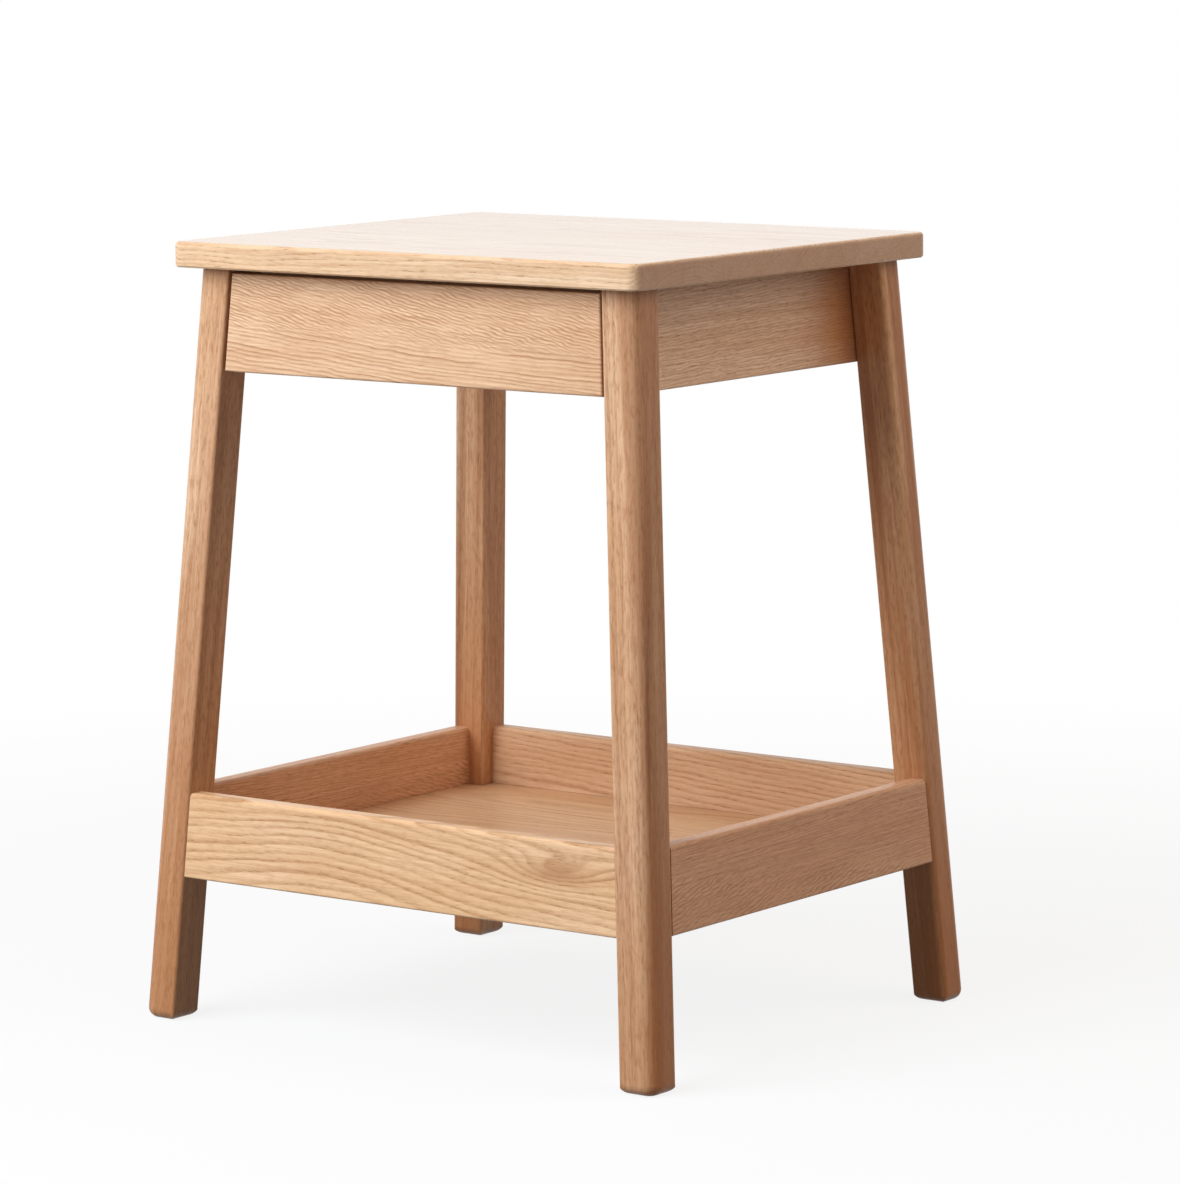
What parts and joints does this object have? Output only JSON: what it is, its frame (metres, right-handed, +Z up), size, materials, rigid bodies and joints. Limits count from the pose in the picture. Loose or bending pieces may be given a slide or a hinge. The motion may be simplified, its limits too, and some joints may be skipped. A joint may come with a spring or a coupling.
{
  "type": "end table",
  "caption": "Small oak end table with splayed square legs, a handle-less drawer under the top and a railed tray shelf near the floor.",
  "frame": {"origin": "on the floor, under the middle of the tabletop", "axes": "+Z up, +X to the right as seen from the drawer front, -Y is the direction in which the drawer opens"},
  "size_m": [0.445, 0.385, 0.55],
  "materials": {
    "oak_top": "natural oak under satin lacquer",
    "oak_leg": "natural oak under satin lacquer, grain along the leg",
    "oak_frame": "natural oak under satin lacquer, grain along the rail",
    "oak_drawer_front": "flat-sawn natural oak under satin lacquer",
    "oak_tray_floor": "oak panel under satin lacquer",
    "drawer_wood": "plain pale hardwood, matt lacquer",
    "plywood": "thin plywood, matt lacquer",
    "screw_steel": "zinc plated"
  },
  "bodies": {
    "frame": {"tabletop": "oak_top", "tray_floor": "oak_tray_floor", "leg_front_left": "oak_leg", "leg_rear_left": "oak_leg", "tray_rail_left": "oak_frame", "side_apron_left": "oak_frame", "drawer_runner_left": "drawer_wood", "leg_front_right": "oak_leg", "leg_rear_right": "oak_leg", "tray_rail_right": "oak_frame", "side_apron_right": "oak_frame", "drawer_runner_right": "drawer_wood", "tray_rail_front": "oak_frame", "top_rail_front": "drawer_wood", "tray_rail_rear": "oak_frame", "top_rail_rear": "drawer_wood", "rear_apron": "oak_frame", "side_apron_screws": "screw_steel", "runner_screws": "screw_steel", "tabletop_screws": "screw_steel"},
    "drawer": {"drawer_front": "oak_drawer_front", "drawer_side_left": "drawer_wood", "drawer_side_right": "drawer_wood", "drawer_back": "drawer_wood", "drawer_bottom": "plywood"}
  },
  "joints": [
    {"name": "drawer_slide", "type": "slide", "parent": "frame", "child": "drawer", "axis": [0, -1, 0], "range_m": [0, 0.2]}
  ]
}
